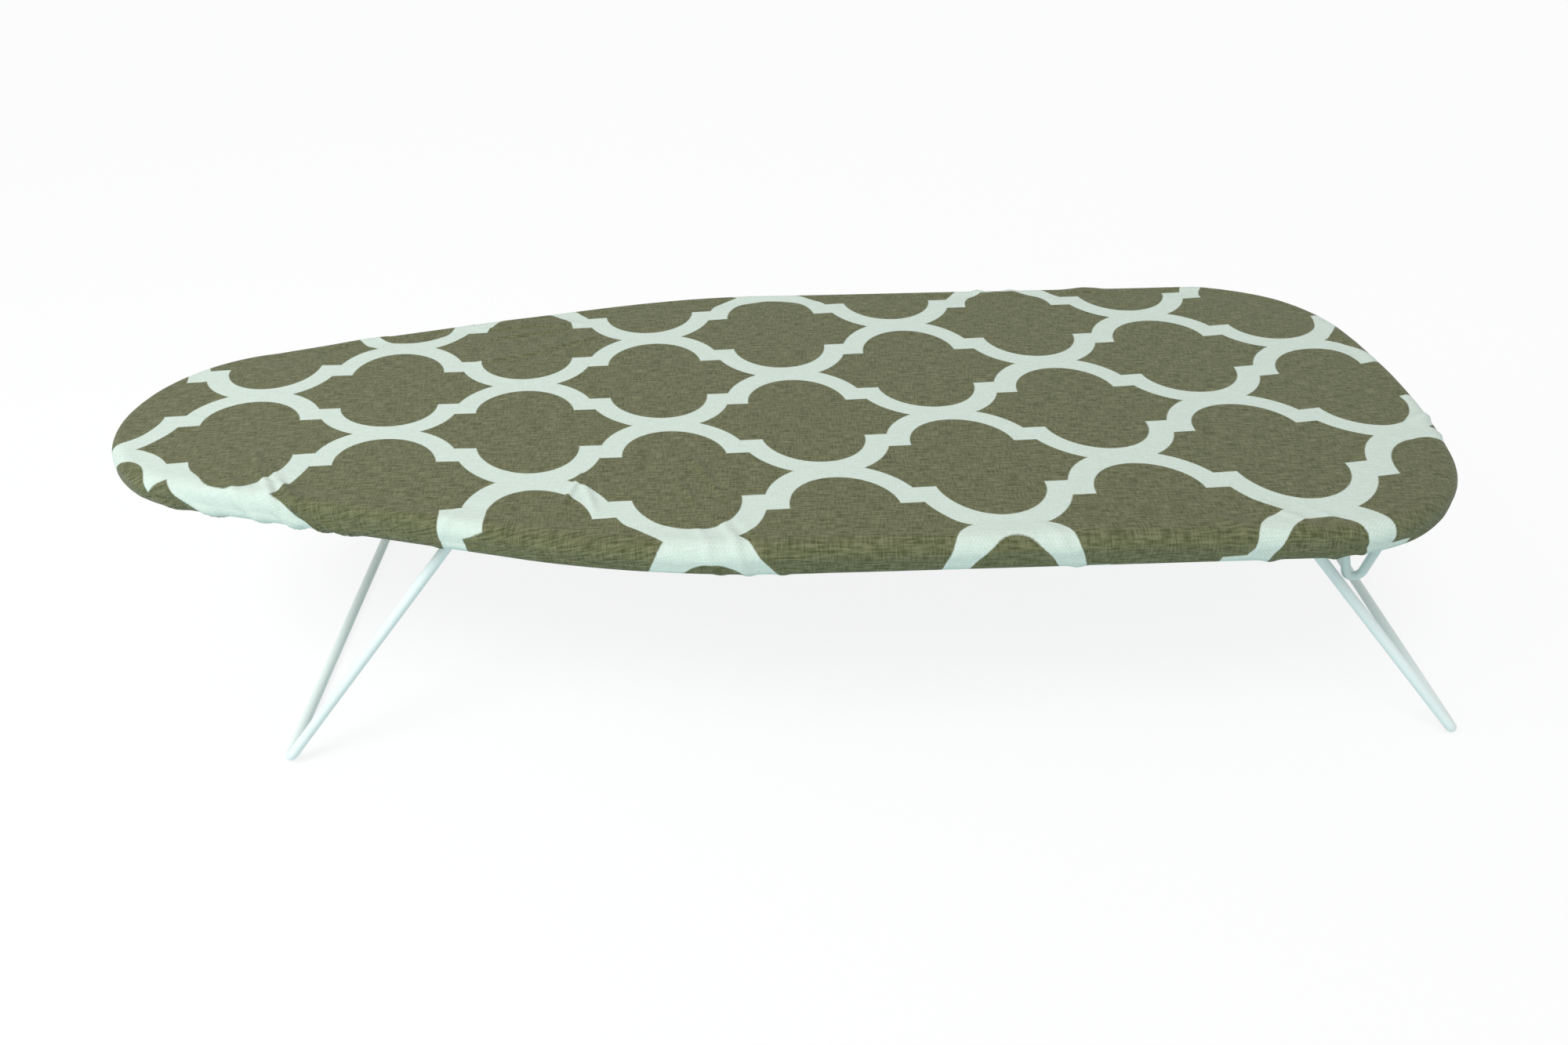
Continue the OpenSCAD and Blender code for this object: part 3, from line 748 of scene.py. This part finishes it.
# The cells lie in two sets, the second half a repeat along and across from the first
cells = []
for shifted in (False, True):
    off_mid = []
    for part, repeat in zip(halves, (repeat_x, repeat_y)):
        if shifted:
            part = node(tree, "Math", {0: 0.5, 1: part}, operation="SUBTRACT").outputs[0]
        off_mid.append(node(tree, "Math", {0: part, 1: repeat}, operation="MULTIPLY").outputs[0])
    here = node(tree, "CombineXYZ", {0: off_mid[0], 1: off_mid[1]}).outputs[0]
    notch = node(tree, "VectorMath", {0: here, 1: (*notch_at, 0)}, operation="DISTANCE").outputs["Value"]
    arm = node(tree, "Math", {0: notch, 1: notch_r}, operation="SUBTRACT").outputs[0]
    flat_side = node(tree, "Math", {0: waist_half, 1: off_mid[1]}, operation="SUBTRACT").outputs[0]
    waist = node(tree, "Math", {0: arm, 1: flat_side}, operation="MINIMUM").outputs[0]
    to_lobe = node(tree, "VectorMath", {0: here, 1: (0, lobe_at, 0)}, operation="DISTANCE").outputs["Value"]
    lobe = node(tree, "Math", {0: lobe_r, 1: to_lobe}, operation="SUBTRACT").outputs[0]
    cells.append(node(tree, "Math", {0: waist, 1: lobe}, operation="MAXIMUM").outputs[0])
inside_cell = node(tree, "Math", {0: cells[0], 1: cells[1]}, operation="MAXIMUM").outputs[0]

# Slubs: thick places in the yarn, about 1 mm wide, 6 mm long in the warp and 9 mm in the weft
slub_w, warp_slub_l, weft_slub_l = 0.0009, 0.006, 0.009
warp = node(tree, "Mapping", {"Vector": cloth_uv, "Scale": (1 / slub_w, 1 / warp_slub_l, 1)}).outputs[0]
weft = node(tree, "Mapping", {"Vector": cloth_uv, "Scale": (1 / weft_slub_l, 1 / slub_w, 1)}).outputs[0]
warp_slub = node(tree, "TexNoise", {"Vector": warp, "Scale": 1.0, "Detail": 1.0, "Roughness": 0.6})
weft_slub = node(tree, "TexNoise", {"Vector": weft, "Scale": 1.0, "Detail": 1.0, "Roughness": 0.7})
slubs = {"Factor": 0.6, "A": warp_slub.outputs["Fac"], "B": weft_slub.outputs["Fac"]}
slub = node(tree, "Mix", slubs).outputs["Result"]

# The ink's edge is 0.6 mm wide, and creeps a little where the yarn is thick
off_even = node(tree, "Math", {0: slub, 1: 0.5}, operation="SUBTRACT").outputs[0]
feather = node(tree, "Math", {0: off_even, 1: 0.0012, 2: inside_cell}, operation="MULTIPLY_ADD").outputs[0]
printed = node(tree, "MapRange", {"Value": feather, "From Min": -0.0003, "From Max": 0.0003}).outputs[0]

# Olive ink on a pale green ground, each darker and lighter with the yarn
yarn = node(tree, "MapRange", {"Value": slub, "From Min": 0.37, "From Max": 0.63}).outputs[0]
ink = {"Factor": yarn, "A": linear("4B4F2F"), "B": linear("797A5A")}
olive = node(tree, "Mix", ink, data_type="RGBA").outputs["Result"]
dye = {"Factor": yarn, "A": linear("CEDBD0"), "B": linear("D8E4DB")}
ground = node(tree, "Mix", dye, data_type="RGBA").outputs["Result"]
colour = node(tree, "Mix", {"Factor": printed, "A": ground, "B": olive}, data_type="RGBA")

# Plain weave: a chequer of warp and weft threads, each one round and 1 mm across
pitch = 0.001
wave_scale = math.pi / 10 / pitch
over = node(tree, "Mapping", {"Vector": cloth_uv, "Scale": (1 / (2 * pitch),) * 3}).outputs[0]
warp_up = node(tree, "TexChecker", {"Vector": over, "Scale": 2.0}).outputs["Fac"]
warp_wave = node(tree, "TexWave", {"Vector": cloth_uv, "Scale": wave_scale}, bands_direction="X")
weft_wave = node(tree, "TexWave", {"Vector": cloth_uv, "Scale": wave_scale}, bands_direction="Y")
threads = {"Factor": warp_up, "A": warp_wave.outputs["Fac"], "B": weft_wave.outputs["Fac"]}
weave = node(tree, "Mix", threads).outputs["Result"]
relief = node(tree, "Math", {0: slub, 1: 0.5, 2: weave}, operation="MULTIPLY_ADD").outputs[0]
threads_up = node(tree, "Bump", {"Height": relief, "Strength": 0.45, "Distance": 0.0003})
feed(tree, surface, {
    "Base Color": colour.outputs["Result"],
    "Normal": threads_up.outputs[0],
    "Roughness": 0.85,
    "Specular IOR Level": 0.25,
    "Sheen Weight": 0.12,
    "Sheen Roughness": 0.5,
})
cover.data.materials.append(cotton)

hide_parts("cotton_cover")
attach(cover, "board")

# ---------------------------------------------------------------------------------------------
# Hem. The cover's raw edge is bound with a folded cotton tape, stitched all round, which makes
# the tunnel for a knitted elastic cord. The cord draws the tape up, so the tape puckers.
# ---------------------------------------------------------------------------------------------
hem_low, hem_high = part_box("hem_binding")
cord_low, cord_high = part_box("hem_elastic")
hem_r = (hem_high.z - hem_low.z) / 2
cord_r = (cord_high.z - cord_low.z) / 2
hem_z = (hem_high.z + hem_low.z) / 2
hem_d = hem_high.x - end_x - hem_r
places, outs = edge_stations(0.0016)
hem_path = places + outs * hem_d
along = np.cumsum(np.linalg.norm(np.roll(hem_path, -1, 0) - hem_path, axis=1))


def tube(name, radius, sides, pucker):
    """A closed tube along the hem. Pucker gives its radius at each station and angle."""
    angle = np.linspace(0, 2 * math.pi, sides, endpoint=False)
    swell = radius * pucker(along[:, None], angle[None])
    out, up = hem_d + swell * np.cos(angle), hem_z + swell * np.sin(angle)
    flat = places[:, None] + outs[:, None] * out[..., None]
    points = np.concatenate([flat, up[..., None]], axis=2)
    return new_piece(name, points.reshape(-1, 3), strips(len(places), sides, True))


wander = np.interp(along, np.linspace(0, along[-1], 90), np.cumsum(rng.normal(0, 1.3, 90)))[:, None]


def puckered(way, angle):
    """Puckers 6.2 mm apart that wander along the hem and slant round the tape."""
    return 0.93 + 0.06 * np.sin(2 * math.pi * way / 0.0062 + wander + 0.8 * np.sin(angle))


# Cotton tape: off-white and matt, with the fine ribs of its weave, drawn here at 0.7 mm.
tape = tube("hem_tape", hem_r, 20, puckered)
tape_cotton, tree, surface = finish_of("cotton_tape")
place = node(tree, "TexCoord").outputs["Object"]
ribs = node(tree, "TexNoise", {"Vector": place, "Scale": 1 / 0.0007, "Detail": 2.0}).outputs["Fac"]
# Painted shade: the hollows between the ribs are darker than their crests
tint = node(tree, "Mix", {"Factor": ribs, "A": linear("CFC9B4"), "B": linear("E4DFCD")}, data_type="RGBA")
bumps = node(tree, "Bump", {"Height": ribs, "Strength": 0.4, "Distance": 0.0002})
feed(tree, surface, {
    "Base Color": tint.outputs["Result"],
    "Normal": bumps.outputs[0],
    "Roughness": 0.88,
    "Sheen Weight": 0.1,
})
tape.data.materials.append(tape_cotton)
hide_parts("hem_binding")
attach(tape, "board")


def ribbed(way, angle):
    """The knit's ribs, 3.2 mm apart, which wind round the cord."""
    return 0.97 + 0.03 * np.sin(2 * math.pi * way / 0.0032 + 8 * angle)


# Knitted elastic: white yarn over rubber, with a round loop every 1.1 mm that shades at its rim.
elastic = tube("elastic_cord", cord_r, 16, ribbed)
knit, tree, surface = finish_of("knitted_elastic")
place = node(tree, "TexCoord").outputs["Object"]
loops = node(tree, "TexVoronoi", {"Vector": place, "Scale": 1 / 0.0011}).outputs["Distance"]
tint = node(tree, "Mix", {"Factor": loops, "A": linear("F1F0EA"), "B": linear("BDBBB2")}, data_type="RGBA")
bumps = node(tree, "Bump", {"Height": loops, "Strength": 0.5, "Distance": 0.0003}, invert=True)
feed(tree, surface, {"Base Color": tint.outputs["Result"], "Normal": bumps.outputs[0], "Roughness": 0.8})
elastic.data.materials.append(knit)
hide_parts("hem_elastic")
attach(elastic, "board")

# Lockstitch in cotton thread round the tape: stitches of 2.4 mm with 0.8 mm between them. Each
# one is a short thread, thinner and pulled into the tape at its two ends.
gauge = 0.0032
stitch_share = 0.75
thread_r = 0.00022
sunk_end = 0.0001
seam_angle = math.radians(-58)
seam_out, seam_up = math.cos(seam_angle), math.sin(seam_angle)
thread_rings = ((0, 0.3), (0.15, 0.85), (0.5, 1.0), (0.85, 0.85), (1, 0.3))
thread_sides = 6
thread_points, thread_faces = [], []
for mark in np.arange(0, along[-1], gauge):
    ends = []
    for way in (mark, mark + stitch_share * gauge):
        k = int(np.searchsorted(along, way % along[-1]))
        flat = places[k] + outs[k] * (hem_d + hem_r * seam_out)
        ends.append(np.array([*flat, hem_z + hem_r * seam_up]))
    k = int(np.searchsorted(along, mark % along[-1]))
    away = np.array([*(outs[k] * seam_out), seam_up])
    run = ends[1] - ends[0]
    run_unit = run / max(np.linalg.norm(run), 1e-9)
    across = np.cross(run_unit, away)
    first_ring = len(thread_points)
    for share, thinness in thread_rings:
        at = ends[0] + run * share - away * sunk_end * (1 - math.sin(math.pi * share))
        for turn in range(thread_sides):
            a = 2 * math.pi * turn / thread_sides
            thread_points.append(at + thread_r * thinness * (math.cos(a) * across + math.sin(a) * away))
    last_ring = first_ring + (len(thread_rings) - 1) * thread_sides
    for ring in range(first_ring, last_ring, thread_sides):
        for turn in range(thread_sides):
            a, b = ring + turn, ring + (turn + 1) % thread_sides
            thread_faces.append((a, b, b + thread_sides, a + thread_sides))
    thread_faces.append(tuple(first_ring + turn for turn in range(thread_sides - 1, -1, -1)))
    thread_faces.append(tuple(last_ring + turn for turn in range(thread_sides)))
stitches = new_piece("hem_stitches", thread_points, thread_faces)

# Cotton thread: off-white and dull, with a twist that shades it, drawn at 0.4 mm.
thread, tree, surface = finish_of("cotton_thread")
place = node(tree, "TexCoord").outputs["Object"]
twist = node(tree, "TexNoise", {"Vector": place, "Scale": 1 / 0.0004}).outputs["Fac"]
tint = node(tree, "Mix", {"Factor": twist, "A": linear("C8C3B0"), "B": linear("F0ECDF")}, data_type="RGBA")
feed(tree, surface, {"Base Color": tint.outputs["Result"], "Roughness": 0.7})
stitches.data.materials.append(thread)
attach(stitches, "board")
